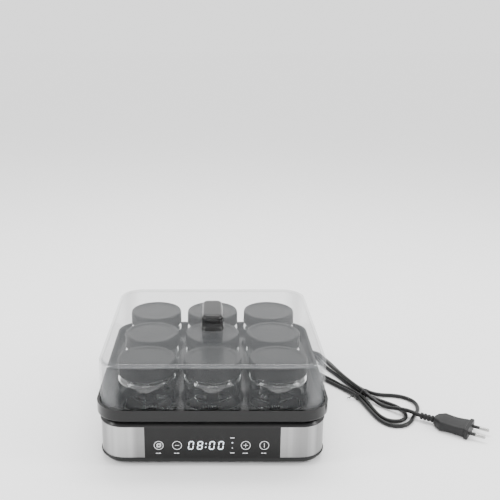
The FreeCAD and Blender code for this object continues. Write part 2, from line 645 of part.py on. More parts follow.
def make_cord_hank():
    """The outer shape of the bundled cord, flat on the floor, from the lead to the plug."""
    lead_end = cord_route()[-1]
    heading = math.radians(value("dim.plug_heading"))
    plug_end = FreeCAD.Vector(value("dim.plug_x"), value("dim.plug_y"), 0)
    across = FreeCAD.Vector(-math.sin(heading), math.cos(heading), 0) * 7
    outer = [(124, 194), (144, 187), (160, 172), (172, 150), (182, 118), (197, 68), (206, 52), (222, 50),
             (240, 50), (256, 45), (266, 30), (266, 8), (263, -8)]
    inner = [(249, -38), (238, -49), (218, -50), (204, -34), (195, -10), (184, 14), (163, 62), (140, 93),
             (118, 121), (111, 140), (112, 163), (116, 180)]
    outline = [FreeCAD.Vector(lead_end.x, lead_end.y - 6, 0), FreeCAD.Vector(lead_end.x, lead_end.y + 4, 0)]
    outline += [FreeCAD.Vector(x, y, 0) for x, y in outer]
    outline += [plug_end + across, plug_end - across]
    outline += [FreeCAD.Vector(x, y, 0) for x, y in inner]
    face = Part.Face(Part.makePolygon(outline + outline[:1]))
    return feature("cord_hank", face.extrude(FreeCAD.Vector(0, 0, value("dim.hank_height"))))


def make_cord_tie():
    """The wire tie across the top of the hank."""
    item = cuboid("0", "0", "0", "3", "30", "1.6")
    place(item, "183.9", "26.6", "dim.hank_height")
    item.Placement.Rotation = FreeCAD.Rotation(FreeCAD.Vector(0, 0, 1), -55)
    return part_of("cord_tie", item)


def on_the_plug(item, ahead, side, up):
    """Places a piece in the plug's own directions: ahead, to its left, and up."""
    heading = FreeCAD.Rotation(FreeCAD.Vector(0, 0, 1), value("dim.plug_heading"))
    item.Placement.Rotation = heading.multiply(item.Placement.Rotation)
    turn = "dim.plug_heading * 1 deg"
    item.setExpression("Placement.Base.x", f"dim.plug_x + ({ahead}) * cos({turn}) - ({side}) * sin({turn})")
    item.setExpression("Placement.Base.y", f"dim.plug_y + ({ahead}) * sin({turn}) + ({side}) * cos({turn})")
    item.setExpression("Placement.Base.z", up)
    return item


PLUG_AXIS = "(dim.plug_thickness / 2)"
FLANGE_LENGTH, WAIST_LENGTH = "4", "8"


def bar_on_the_plug(radius, length, ahead, side):
    """A round bar along the plug's direction."""
    bar = doc.addObject("Part::Cylinder", "bar")
    bar.setExpression("Radius", radius)
    bar.setExpression("Height", length)
    bar.Placement.Rotation = FreeCAD.Rotation(FreeCAD.Vector(0, 1, 0), 90)
    return on_the_plug(bar, ahead, side, PLUG_AXIS)


def make_plug_body():
    """The moulded flat plug: bend relief, waisted body and a flange at the pins."""
    pieces = [bar_on_the_plug("dim.cord_diameter / 2 + 1.7", "dim.plug_relief", "0", "0")]
    grip_length = f"(dim.plug_length - {WAIST_LENGTH} - {FLANGE_LENGTH})"
    for start, length, width in (
            ("dim.plug_relief", WAIST_LENGTH, "18"),
            (f"dim.plug_relief + {WAIST_LENGTH}", grip_length, "28"),
            (f"dim.plug_relief + {WAIST_LENGTH} + {grip_length}", FLANGE_LENGTH, "34")):
        item = doc.addObject("Part::Box", "slab")
        item.setExpression("Length", length)
        item.setExpression("Width", width)
        item.setExpression("Height", "dim.plug_thickness")
        pieces.append(on_the_plug(item, start, f"-{width} / 2", "0"))
    return joined("plug_body", pieces)


def make_plug_pins():
    """The two round pins."""
    return group("plug_pins", [
        bar_on_the_plug("dim.pin_radius", "dim.pin_length", "dim.plug_relief + dim.plug_length",
                        f"{side} * dim.pin_spacing / 2")
        for side in (-1, 1)])


# ---------------------------------------------------------------- rack

def make_jar_rack():
    """The tray with nine collared holes that carries the cover and stands on twelve legs."""
    body = new_part("jar_rack")
    columns = ("-1 * dim.jar_pitch", "0 * dim.jar_pitch", "1 * dim.jar_pitch")
    slab(body, RACK_BOTTOM, "dim.rack_plate + dim.rack_wall_height", "dim.rack_width",
         "dim.rack_width", "dim.rack_corner")
    round_edges(body, "1.5", RACK_BOTTOM)
    inside = "(dim.rack_width - 2 * dim.rack_wall)"
    slab(body, RACK_TOP, "dim.rack_wall_height", inside, inside, "dim.rack_corner - dim.rack_wall", cut=True)
    for x in columns:
        for y in columns:
            disc(body, f"{RACK_BOTTOM} - dim.collar_depth", "dim.collar_depth + 0.5",
                 "dim.hole_radius + dim.collar_wall", x, y)
    leg_height = f"({RACK_BOTTOM} - {JAR_BOTTOM} + 0.5)"
    edge = "(dim.hole_radius + dim.leg_thickness / 2)"
    for x in columns:
        for y, toe in ((f"-dim.jar_pitch - {edge}", "1"), (f"dim.jar_pitch + {edge}", "-1")):
            block(body, x, y, JAR_BOTTOM, "dim.leg_width", "dim.leg_thickness", leg_height)
            block(body, x, f"{y} + {toe} * (dim.leg_toe / 2)", JAR_BOTTOM, "dim.leg_width", "dim.leg_toe",
                  "dim.toe_height")
        for y in ("-dim.jar_pitch / 2", "dim.jar_pitch / 2"):
            block(body, x, y, JAR_BOTTOM, "dim.leg_width", "dim.jar_pitch - 2 * dim.hole_radius", leg_height)
            block(body, x, y, JAR_BOTTOM, "dim.leg_width", "2 * dim.leg_toe", "dim.toe_height")
    for x in columns:
        for y in columns:
            disc(body, f"{RACK_BOTTOM} - dim.collar_depth - 1", "dim.collar_depth + dim.rack_plate + 2",
                 "dim.hole_radius", x, y, cut=True)
    drain, drain_inset = "1.6", "6"
    for x in (f"-dim.rack_width / 2 + {drain_inset}", f"dim.rack_width / 2 - {drain_inset}"):
        for y in ("-dim.jar_pitch", "0 * dim.jar_pitch", "dim.jar_pitch"):
            disc(body, f"{RACK_BOTTOM} - 1", "dim.rack_plate + 2", drain, x, y, cut=True)
    return body


# ---------------------------------------------------------------- jars

def make_jar(name, x, y):
    """A round-shouldered glass with a standing ring and a narrower mouth."""
    body = new_part(name, x, y)
    shoulder = f"({JAR_TOP} - dim.jar_neck_height)"
    foot = "2.2"
    disc(body, f"{JAR_BOTTOM} + {foot}", f"{shoulder} - {JAR_BOTTOM} - {foot}", "dim.jar_radius")
    round_edges(body, "6", f"{JAR_BOTTOM} + {foot}")
    round_edges(body, "3", shoulder)
    disc(body, JAR_BOTTOM, f"{foot} + 3", "dim.jar_foot_radius")
    disc(body, f"{shoulder} - 3", "dim.jar_neck_height + 3", "dim.jar_neck_radius")
    disc(body, JAR_BOTTOM, "0.8", "dim.jar_foot_radius - dim.jar_wall", cut=True)
    inside = "(dim.jar_radius - dim.jar_wall)"
    disc(body, f"{JAR_BOTTOM} + {foot} + dim.jar_wall",
         f"{shoulder} - {JAR_BOTTOM} - {foot} - 2 * dim.jar_wall", inside, cut=True)
    disc(body, f"{shoulder} - 2 * dim.jar_wall", "dim.jar_neck_height + 2 * dim.jar_wall + 1",
         "dim.jar_neck_radius - dim.jar_wall", cut=True)
    return body


def make_seal(name, x, y):
    """The foam disc inside a cap."""
    return part_of(name, cylinder(x, y, SEAL_BOTTOM, "dim.jar_neck_radius + 0.4", "dim.seal_thickness"))


def make_cap(name, x, y):
    """A screw cap with a sunk disc on top."""
    body = new_part(name, x, y)
    bottom = f"({CAP_TOP} - dim.cap_height)"
    disc(body, bottom, "dim.cap_height", "dim.cap_radius")
    round_edges(body, "1", CAP_TOP)
    disc(body, f"{CAP_TOP} - dim.cap_recess_depth", "dim.cap_recess_depth", "dim.cap_radius - dim.cap_ring",
         cut=True)
    disc(body, bottom, "dim.cap_height - dim.cap_wall", "dim.cap_radius - dim.cap_wall", cut=True)
    return body


# ---------------------------------------------------------------- cover

HANDLE_SCREW, HANDLE_SCREW_DEPTH = "1.5", "10"


def make_cover():
    """A clear box, open below, with two screw holes for its handle."""
    body = new_part("cover")
    height = f"({COVER_TOP} - {COVER_BOTTOM})"
    slab(body, COVER_BOTTOM, height, "dim.cover_width", "dim.cover_width", "dim.cover_corner")
    round_edges(body, "dim.cover_edge", COVER_TOP)
    inside = "(dim.cover_width - 2 * dim.cover_wall)"
    slab(body, COVER_BOTTOM, f"{height} - dim.cover_wall", inside, inside,
         "dim.cover_corner - dim.cover_wall", cut=True)
    for y in handle_screw_places():
        disc(body, f"{COVER_TOP} - dim.cover_wall - 1", "dim.cover_wall + 2", f"{HANDLE_SCREW} + 0.2", "0", y,
             cut=True)
    return body


def handle_screw_places():
    """Where the two handle screws stand, front to back."""
    return ("-dim.handle_screw_spacing / 2", "dim.handle_screw_spacing / 2")


def make_handle_gasket():
    """A thin pad between the handle and the cover."""
    body = new_part("handle_gasket")
    slab(body, COVER_TOP, "dim.gasket_thickness", "dim.handle_width - 3", "dim.handle_length - 3",
         "dim.handle_corner - 1.5")
    for y in handle_screw_places():
        disc(body, f"{COVER_TOP} - 1", "dim.gasket_thickness + 2", f"{HANDLE_SCREW} + 0.2", "0", y,
             cut=True)
    return body


def make_cover_handle():
    """The bar handle."""
    body = new_part("cover_handle")
    slab(body, HANDLE_BOTTOM, "dim.handle_height", "dim.handle_width", "dim.handle_length", "dim.handle_corner")
    round_edges(body, "dim.handle_edge", f"{HANDLE_BOTTOM} + dim.handle_height")
    for y in handle_screw_places():
        disc(body, HANDLE_BOTTOM, f"{HANDLE_SCREW_DEPTH} + 0.5", f"{HANDLE_SCREW} + 0.05", "0", y, cut=True)
    return body


def make_handle_screws():
    """The screws of the handle, from under the cover."""
    head = "2"
    under = f"({COVER_TOP} - dim.cover_wall)"
    return group("handle_screws", [
        fuse([cylinder("0", y, f"{under} - {head}", "3", head),
              cylinder("0", y, under, HANDLE_SCREW,
                       f"dim.cover_wall + dim.gasket_thickness + {HANDLE_SCREW_DEPTH}")])
        for y in handle_screw_places()])


# ---------------------------------------------------------------- the whole object

for make in (make_bottom_housing, make_top_housing, make_steel_band, make_control_panel, make_rubber_feet,
             make_housing_screws, make_board_screws, make_power_board, make_control_board,
             make_display_module, make_touch_springs, make_heating_plate, make_plate_trim, make_plate_screw,
             make_heating_element, make_heat_shield, make_temperature_sensor, make_thermal_fuse,
             make_wiring_loom, make_cord_clamp, make_clamp_screws, make_cord_gland, make_mains_cord,
             make_cord_hank, make_cord_tie, make_plug_body, make_plug_pins, make_jar_rack, make_cover,
             make_handle_gasket, make_cover_handle, make_handle_screws):
    make()
for row, y in (("front", "-1"), ("middle", "0"), ("rear", "1")):
    for column, x in (("left", "-1"), ("centre", "0"), ("right", "1")):
        spot = (f"{x} * dim.jar_pitch", f"{y} * dim.jar_pitch")
        make_jar(f"jar_{row}_{column}", *spot)
        make_seal(f"seal_{row}_{column}", *spot)
        make_cap(f"cap_{row}_{column}", *spot)
doc.recompute()

for item in doc.Objects:
    assert not {"Invalid", "Error"} & set(item.State), f"{item.Label} failed: {item.State}"
    if item.TypeId == "PartDesign::Pocket" or "Subtractive" in item.TypeId:
        assert item.Shape.Volume < item.BaseFeature.Shape.Volume - 0.01, f"{item.Label} cuts nothing"
for part in parts:
    assert not part.Shape.isNull() and part.Shape.isValid(), f"{part.Label} is not a valid solid"
    print(f"{part.Label:22s} {part.Shape.Volume / 1000:9.2f} cm3  {len(part.Shape.Solids)} solid(s)")

os.makedirs("parts", exist_ok=True)
for part in parts:
    part.Shape.exportStep(f"parts/{part.Label}.step")
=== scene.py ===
# %% [markdown]
# # A nine-jar yogurt maker
# The machine is a low square base with a heated recess, a moulded rack that drops into it, nine
# small glass jars with black screw caps, and a clear cover with a bar handle. The CAD frame already
# holds every part at its real size. This lesson dresses it: it gives the parts their finishes and
# builds finer meshes where a plain CAD solid would look like a stand-in.

# %% Load the frame
import math
import bpy
import bmesh
import json
from mathutils import Vector, Matrix


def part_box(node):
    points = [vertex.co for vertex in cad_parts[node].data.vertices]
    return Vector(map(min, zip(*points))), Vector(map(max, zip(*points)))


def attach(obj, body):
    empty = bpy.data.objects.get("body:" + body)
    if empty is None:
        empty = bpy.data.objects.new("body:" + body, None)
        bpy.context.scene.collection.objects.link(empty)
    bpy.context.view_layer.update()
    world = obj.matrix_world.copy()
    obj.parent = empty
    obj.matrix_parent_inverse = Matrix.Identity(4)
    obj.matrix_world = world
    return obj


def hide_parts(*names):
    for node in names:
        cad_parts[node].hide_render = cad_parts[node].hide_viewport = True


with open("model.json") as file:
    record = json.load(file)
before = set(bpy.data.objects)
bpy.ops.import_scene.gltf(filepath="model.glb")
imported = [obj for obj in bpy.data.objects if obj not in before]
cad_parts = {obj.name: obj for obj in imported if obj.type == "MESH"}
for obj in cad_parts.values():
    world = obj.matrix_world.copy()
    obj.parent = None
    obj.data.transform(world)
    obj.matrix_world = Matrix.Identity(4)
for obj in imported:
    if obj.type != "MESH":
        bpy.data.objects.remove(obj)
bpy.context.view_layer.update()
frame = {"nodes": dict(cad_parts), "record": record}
MM = 0.001

# %% [markdown]
# ## Levels
# Every height comes from the frame, so a finer mesh lands exactly where its CAD node is. A node's
# box gives its lowest and highest corners at rest.

# %% Read the main levels
def low(node, axis=2):
    """The lowest coordinate of a node along an axis."""
    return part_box(node)[0][axis]


def high(node, axis=2):
    """The highest coordinate of a node along an axis."""
    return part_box(node)[1][axis]


LEDGE = high("steel_band") + 3.4 * MM
PANEL_FACE = low("control_panel", 1)
JAR_NAMES = [f"{row}_{column}" for row in ("front", "middle", "rear")
             for column in ("left", "centre", "right")]


def jar_place(name):
    """The point on the floor under the middle of a jar."""
    return Vector([(low(f"jar_{name}", axis) + high(f"jar_{name}", axis)) / 2 for axis in (0, 1)] + [0])


print("ledge", LEDGE, "panel face", PANEL_FACE)

# %% [markdown]
# ## Camera
# The camera looks down at the base from the front, a little under a metre away. It is square to the
# front panel, so both sides of the machine fall back evenly. It is turned up towards the space over
# the machine, because the rack, the jars and the cover are lifted there in the poses.

# %% Place the camera
def make_camera():
    """A camera that is square to the panel and sees the base from above."""
    distance, elevation, turned_up = 0.912, math.radians(25.8), math.radians(9.7)
    target = Vector((0, 0, LEDGE))
    eye = target + Vector((0, -math.cos(elevation), math.sin(elevation))) * distance
    data = bpy.data.cameras.new("camera")
    data.lens, data.sensor_width = 52.0, 36.0
    camera = bpy.data.objects.new("camera", data)
    bpy.context.collection.objects.link(camera)
    camera.location = eye
    camera.rotation_euler = (math.radians(90) - elevation + turned_up, 0, 0)
    data.shift_x = 0.075
    bpy.context.scene.camera = camera
    print("camera at", [round(c, 3) for c in eye])
    return camera


camera = make_camera()

# %% [markdown]
# ## Floor and light
# The machine stands on a pale seamless floor. Glossy black plastic shows only what it reflects, so
# the lights are wide panels: they leave long soft highlights on the rims, the caps and the steel.

# %% Light the studio
def add_light(name, place, aim, width, depth, watts):
    """A rectangular soft light that points at a spot."""
    data = bpy.data.lights.new(name, "AREA")
    data.shape, data.size, data.size_y, data.energy = "RECTANGLE", width, depth, watts
    light = bpy.data.objects.new(name, data)
    bpy.context.collection.objects.link(light)
    light.location = place
    light.rotation_mode = "QUATERNION"
    light.rotation_quaternion = (Vector(aim) - Vector(place)).to_track_quat("-Z", "Y")
    return light


def make_stage():
    """A pale floor, a bright even sky and four soft panels."""
    mesh = bpy.data.meshes.new("floor")
    reach = 30.0
    mesh.from_pydata([(-reach, -reach, 0), (reach, -reach, 0), (reach, reach, 0), (-reach, reach, 0)],
                     [], [(0, 1, 2, 3)])
    floor = bpy.data.objects.new("floor", mesh)
    bpy.context.collection.objects.link(floor)
    world = bpy.data.worlds.new("studio")
    world.use_nodes = True
    background = world.node_tree.nodes["Background"]
    background.inputs["Color"].default_value = (1, 1, 1, 1)
    background.inputs["Strength"].default_value = 1.7
    bpy.context.scene.world = world
    middle = (0, 0, 0.1)
    add_light("overhead", (0.1, 0.55, 1.5), middle, 1.3, 0.5, 20)
    add_light("left_panel", (-1.3, -0.5, 0.6), middle, 0.25, 1.2, 12)
    add_light("right_panel", (1.3, -0.3, 0.6), middle, 0.25, 1.2, 10)
    add_light("front_panel", (0.0, -1.5, 1.3), middle, 1.2, 0.25, 6)
    return floor


floor = make_stage()
print("stage and four lights made")

# %% [markdown]
# ## Writing shader maths as expressions
# A node tree soon becomes hard to read. A small class wraps one socket, so that `1 - mask` or
# `noise * 0.2` adds the Math node itself. The workshop that owns a material adds any other node
# through one method.

# %% Wrap a socket and a material
class Wire:
    """One output socket; the arithmetic operators add Math nodes to its tree."""

    def __init__(self, finish, socket):
        self.finish, self.socket = finish, socket

    def _maths(self, operation, first, second):
        return self.finish.node("ShaderNodeMath", {"operation": operation}, {0: first, 1: second})

    def __add__(self, other):
        return self._maths("ADD", self, other)

    def __sub__(self, other):
        return self._maths("SUBTRACT", self, other)

    def __rsub__(self, other):
        return self._maths("SUBTRACT", other, self)

    def __mul__(self, other):
        return self._maths("MULTIPLY", self, other)

    __radd__, __rmul__ = __add__, __mul__


class Finish:
    """A material with its Principled shader; constants are set on the shader's own sockets."""

    def __init__(self, name, **constants):
        self.material = bpy.data.materials.new(name)
        self.material.use_nodes = True
        self.tree = self.material.node_tree
        self.shader = self.tree.nodes["Principled BSDF"]
        for key, value in constants.items():
            self.shader.inputs[key.replace("_", " ").title().replace("Ior", "IOR")].default_value = value

    def node(self, kind, settings=None, sockets=None, out=0):
        """Adds a node: its settings first, then the value or link of each socket."""
        made = self.tree.nodes.new(kind)
        for key, value in (settings or {}).items():
            setattr(made, key, value)
        for key, value in (sockets or {}).items():
            self.put(made.inputs[key], value)
        return Wire(self, made.outputs[out])

    def put(self, socket, value):
        """Sets a socket to a value, or links it to a wire."""
        if isinstance(value, Wire):
            self.tree.links.new(value.socket, socket)
        else:
            socket.default_value = value

    def feed(self, name, value):
        """Links one socket of the Principled shader."""
        self.put(self.shader.inputs[name], value)

    def place(self, stretch=(1, 1, 1)):
        """The point in the object, in metres, stretched along each axis."""
        point = self.node("ShaderNodeTexCoord", out="Object")
        return self.node("ShaderNodeMapping", {}, {"Vector": point, "Scale": stretch})

    def noise(self, scale, detail=2.0, stretch=(1, 1, 1)):
        """Smooth noise between 0 and 1, so many swells to the metre."""
        return self.node("ShaderNodeTexNoise", {}, {"Vector": self.place(stretch), "Scale": scale,
                                                    "Detail": detail})

    def mix(self, factor, first, second):
        """A colour between two colours."""
        return self.node("ShaderNodeMix", {"data_type": "RGBA"}, {0: factor, 6: first, 7: second}, out=2)

    def bump(self, height, distance, strength=1.0):
        """Feeds the normal from a height, which is a share of the distance in metres."""
        self.feed("Normal", self.node("ShaderNodeBump", {}, {"Strength": strength, "Distance": distance,
                                                             "Height": height}))


def grey(value):
    """A neutral colour."""
    return (value, value, value, 1)


print("shader helpers ready")

# %% [markdown]
# ## Black plastics
# The housing, the rack and the caps are moulded ABS. A polished mould leaves a gloss with a very
# slight orange peel, and handling leaves faint cloudy marks that show only in the roughness. The
# caps come from a finer blasted mould, so they are duller.

# %% Make the moulded plastics
def moulded(name, shade, rough, peel=0.00002, coat=0.0, level=0.28):
    """Black plastic with cloudy roughness and a slight orange peel."""
    finish = Finish(name, specular_ior_level=level, coat_weight=coat, coat_roughness=0.05)
    cloud = finish.noise(38, 4)
    speck = finish.noise(900, 1)
    tint = (shade * 1.12, shade * 1.12, shade * 1.16, 1)
    finish.feed("Base Color", finish.mix(cloud, grey(shade * 0.86), tint))
    finish.feed("Roughness", rough * 0.8 + cloud * (rough * 0.4))
    finish.bump(cloud * 0.6 + speck * 0.4, peel)
    return finish.material


def rubber(name, shade, rough=0.62):
    """Soft black rubber or PVC with a fine grain."""
    finish = Finish(name, specular_ior_level=0.3)
    grain = finish.noise(2600, 2)
    cloud = finish.noise(60, 3)
    finish.feed("Base Color", finish.mix(cloud, grey(shade * 0.8), grey(shade * 1.25)))
    finish.feed("Roughness", rough + (grain - 0.5) * 0.2)
    finish.bump(grain, 0.00005)
    return finish.material


FINISHES = {
    "housing_black": moulded("housing_black", 0.008, 0.24, coat=0.08),
    "panel_black": moulded("panel_black", 0.002, 0.06, peel=0.000004, coat=0.2, level=0.2),
    "rack_black": moulded("rack_black", 0.003, 0.17, coat=0.1),
    "cap_black": moulded("cap_black", 0.003, 0.24, peel=0.00003, level=0.24),
    "handle_black": moulded("handle_black", 0.003, 0.16, coat=0.15),
    "plug_black": moulded("plug_black", 0.010, 0.48, peel=0.00006),
    "display_dark": moulded("display_dark", 0.01, 0.3),
    "rubber_black": rubber("rubber_black", 0.02),
    "cord_black": rubber("cord_black", 0.006, 0.30),
    "tie_black": rubber("tie_black", 0.012, 0.5),
    "sleeve_black": rubber("sleeve_black", 0.02, 0.45),
}
print(len(FINISHES), "plastics and rubbers")

# %% [markdown]
# ## Metals
# The band is a strip of stainless steel, brushed along its length. Fine grooves scatter light across
# them, so each light turns into a tall soft streak. The fine noise is stretched hard along the strip,
# both in roughness and in height, and a broad noise that hardly changes with height paints upright
# bands of light and shade into the colour: a painted reflection. The heating plate has a dark grey
# non-stick coat with a fine grain.

# %% Make the metals
def brushed(name, shade):
    """Stainless steel brushed along the strip, with painted upright reflection bands in its colour."""
    finish = Finish(name, metallic=1.0, anisotropic=0.75, anisotropic_rotation=0.0)
    grooves = finish.noise(1.0, 3, stretch=(9, 9, 2600))
    fine = finish.noise(1.0, 2, stretch=(40, 40, 9000))
    soft = finish.noise(14, 2)
    # painted reflection: a broad noise that barely changes with height puts upright bands of light and shade
    # into the colour
    painted_sheen = finish.node("ShaderNodeMapRange", {"clamp": True}, {
        "Value": finish.noise(1.0, 3, stretch=(38, 38, 0.5)), "From Min": 0.36, "From Max": 0.62})
    lines = grooves * 0.6 + fine * 0.4
    finish.feed("Base Color", finish.mix(lines * 0.3 + painted_sheen * 0.7, grey(shade * 0.45), grey(shade * 1.3)))
    finish.feed("Roughness", 0.20 + lines * 0.16 + soft * 0.05)
    finish.bump(lines, 0.00002)
    return finish.material


def coated(name, shade):
    """A dark non-stick coat with a fine grain and faint wiping marks."""
    finish = Finish(name, metallic=0.35, specular_ior_level=0.5)
    grain = finish.noise(1900, 3)
    wipe = finish.noise(1.0, 3, stretch=(26, 7, 26))
    finish.feed("Base Color", finish.mix(wipe * 0.6 + grain * 0.4, grey(shade * 0.75), grey(shade * 1.3)))
    finish.feed("Roughness", 0.34 + wipe * 0.16 + grain * 0.06)
    finish.bump(grain, 0.00003)
    return finish.material


def plain_metal(name, colour, rough):
    """Rolled or plated metal with small changes in its gloss."""
    finish = Finish(name, metallic=1.0)
    cloud = finish.noise(120, 3)
    dark = tuple(c * 0.85 for c in colour) + (1,)
    finish.feed("Base Color", finish.mix(cloud, dark, colour + (1,)))
    finish.feed("Roughness", rough * 0.7 + cloud * (rough * 0.6))
    return finish.material


FINISHES.update({
    "band_steel": brushed("band_steel", 0.42),
    "plate_grey": coated("plate_grey", 0.05),
    "trim_metal": plain_metal("trim_metal", (0.50, 0.50, 0.51), 0.35),
    "foil_aluminium": plain_metal("foil_aluminium", (0.78, 0.78, 0.79), 0.3),
    "screw_steel": plain_metal("screw_steel", (0.62, 0.62, 0.60), 0.25),
    "pin_metal": plain_metal("pin_metal", (0.46, 0.46, 0.45), 0.22),
})
print("metals made")

# %% [markdown]
# ## Clear materials
# The cover is thin clear plastic: almost nothing shows where it is seen square on. It turns dark where
# it bends, at its mouth, and where it is seen along its surface, because there the eye looks through
# more of it. An alpha that follows those says that, and lets the light through to the jars. The jars
# are thick pressed glass, which bends what is seen through it, so they use real transmission.

# %% Make the clear materials
def clear_plastic(name):
    """Thin clear plastic: dense along its rounded edges and its mouth, and where it is seen aslant."""
    finish = Finish(name, specular_ior_level=0.9, ior=1.49, coat_weight=0.5, coat_roughness=0.02)
    aslant = finish.node("ShaderNodeLayerWeight", {}, {"Blend": 0.35}, out="Facing")
    facing = finish.node("ShaderNodeTexCoord", out="Normal")
    across = finish.node("ShaderNodeSeparateXYZ", {}, {"Vector": facing}, out="X")
    back = finish.node("ShaderNodeSeparateXYZ", {}, {"Vector": facing}, out="Y")
    up = finish.node("ShaderNodeSeparateXYZ", {}, {"Vector": facing}, out="Z")
    flat = up * up
    bend = flat * (1 - flat) * 4 + across * across * back * back * 1.6
    level = finish.node("ShaderNodeSeparateXYZ", {}, {"Vector": finish.place()}, out="Z")
    lip_low, lip_high = low("cover") + 1.2 * MM, low("cover") + 2.6 * MM
    mouth = finish.node("ShaderNodeMapRange", {"clamp": True}, {
        "Value": level, "From Min": lip_low, "From Max": lip_high, "To Min": 1.0, "To Max": 0.0})
    dense = finish.node("ShaderNodeMath", {"operation": "MINIMUM"}, {
        0: bend * 0.55 + mouth * 0.6 + aslant * aslant * 0.4, 1: 1.0})
    haze = finish.noise(24, 3)
    finish.feed("Base Color", finish.mix(dense, (0.26, 0.27, 0.28, 1), (0.05, 0.055, 0.06, 1)))
    finish.feed("Roughness", 0.03 + haze * 0.03)
    finish.feed("Alpha", 0.045 + dense * 0.6)
    return finish.material


def pressed_glass(name):
    """Thick clear glass with the faint ripple of its mould."""
    finish = Finish(name, transmission_weight=1.0, ior=1.46)
    ripple = finish.noise(45, 2)
    finish.feed("Base Color", finish.mix(ripple, (0.965, 0.985, 0.98, 1), (0.985, 0.995, 0.99, 1)))
    finish.feed("Roughness", 0.005 + ripple * 0.01)
    finish.bump(ripple, 0.0003, 0.5)
    return finish.material


FINISHES.update({"clear_plastic": clear_plastic("clear_plastic"), "jar_glass": pressed_glass("jar_glass")})
print("clear materials made")

# %% [markdown]
# ## Electronics, prints and lamps
# The parts inside are never the first thing seen, but the base is hollow and the cover is clear, so
# each still gets its own surface. The display digits glow; the key symbols are a pale print, given a
# faint painted glow.

# %% Make the rest
def speckled(name, colour, rough, fleck=0.75):
    """A painted or moulded surface with a fine mottle; fleck is how bright its dark spots are."""
    finish = Finish(name)
    mottle = finish.noise(420, 3)
    dark = tuple(c * fleck for c in colour) + (1,)
    finish.feed("Base Color", finish.mix(mottle, dark, colour + (1,)))
    finish.feed("Roughness", rough + mottle * 0.1)
    finish.bump(mottle, 0.00004)
    return finish.material


def glowing(name, colour, strength):
    """A print that gives off its own light; its colour and glow are a touch dimmer in patches."""
    finish = Finish(name, roughness=0.4, emission_strength=strength)
    fade = finish.noise(300, 1)
    finish.feed("Base Color", finish.mix(fade, grey(0.6), colour + (1,)))
    finish.feed("Emission Color", finish.mix(fade, tuple(c * 0.85 for c in colour) + (1,), colour + (1,)))
    return finish.material


FINISHES.update({
    "board_green": speckled("board_green", (0.03, 0.17, 0.08), 0.35),
    "sensor_white": speckled("sensor_white", (0.78, 0.77, 0.73), 0.5),
    "wire_white": speckled("wire_white", (0.7, 0.7, 0.68), 0.4),
    "seal_white": speckled("seal_white", (0.75, 0.75, 0.72), 0.6),
    "display_white": glowing("display_white", (0.80, 0.90, 1.0), 1.1),
    # legend_white glows faintly: on the key prints and captions this is a painted glow; the idle lamp uses it
    # too
    "legend_white": glowing("legend_white", (0.72, 0.74, 0.78), 0.28),
})


def finish_cad_nodes():
    """Gives every CAD node the finish of its record slot."""
    for entry in frame["record"]["subparts"]:
        node = frame["nodes"][entry["node"]]
        node.data.materials.clear()
        node.data.materials.append(FINISHES[entry["material_slot"]])


finish_cad_nodes()
floor.data.materials.append(speckled("pale_floor", (0.99, 0.99, 0.99), 0.75, fleck=0.99))
print(len(FINISHES), "finishes in all")

# %% [markdown]
# ## Three ways to make a mesh
# Almost every part of this machine is either turned, like a jar, or moulded round a rounded square,
# like the cover. One helper spins a profile round an axis, one stacks rounded rectangles, and one
# that comes with the control panel cuts a thin plate from an outline. Each returns bare vertices
# and faces.

# %% Mesh helpers
def turned(profile, segments, ripple=None, ring=False):
    """Spins (radius, height) pairs round Z; ripple changes the radius with the angle and the point.

    A ring's profile closes on itself; any other profile is closed by a disc at an end off the axis."""
    vertices, faces = [], []
    count = len(profile)
    for step in range(segments):
        angle = 2 * math.pi * step / segments
        for index, (radius, height) in enumerate(profile):
            reach = radius + (ripple(index, step) if ripple else 0.0)
            vertices.append((reach * math.cos(angle), reach * math.sin(angle), height))
    for step in range(segments):
        here, there = step * count, (step + 1) % segments * count
        for index in range(count if ring else count - 1):
            after = (index + 1) % count
            faces.append((here + index, there + index, there + after, here + after))
    if ring:
        return vertices, faces
    for index in (0, count - 1):
        if profile[index][0] > 1e-6:
            rim = [step * count + index for step in range(segments)]
            faces.append(rim[::-1] if index == 0 else rim)
    return vertices, faces


def rounded_ring(half_x, half_y, corner, height, steps=10):
    """The points of a rounded rectangle at a height, anticlockwise."""
    corner = min(corner, half_x - 1e-6, half_y - 1e-6)
    points = []
    for quarter, (sx, sy) in enumerate([(1, 1), (-1, 1), (-1, -1), (1, -1)]):
        for step in range(steps + 1):
            angle = math.pi / 2 * (quarter + step / steps)
            points.append((sx * (half_x - corner) + corner * math.cos(angle),
                           sy * (half_y - corner) + corner * math.sin(angle), height))
    return points


def stacked(rings, closed=False):
    """Joins rings of equal length; an open stack is closed by a face at each end."""
    vertices = [point for ring in rings for point in ring]
    size, faces = len(rings[0]), []
    last = len(rings) if closed else len(rings) - 1
    for level in range(last):
        for step in range(size):
            ahead = (step + 1) % size
            here, above = level * size, (level + 1) % len(rings) * size
            faces.append((here + step, here + ahead, above + ahead, above + step))
    if not closed:
        faces.append(tuple(range(size))[::-1])
        faces.append(tuple((len(rings) - 1) * size + step for step in range(size)))
    return vertices, faces


def arc(centre, radius, start, end, steps):
    """Points of an arc in a profile, with angles in degrees."""
    return [(centre[0] + radius * math.cos(math.radians(start + (end - start) * k / steps)),
             centre[1] + radius * math.sin(math.radians(start + (end - start) * k / steps)))
            for k in range(steps + 1)]


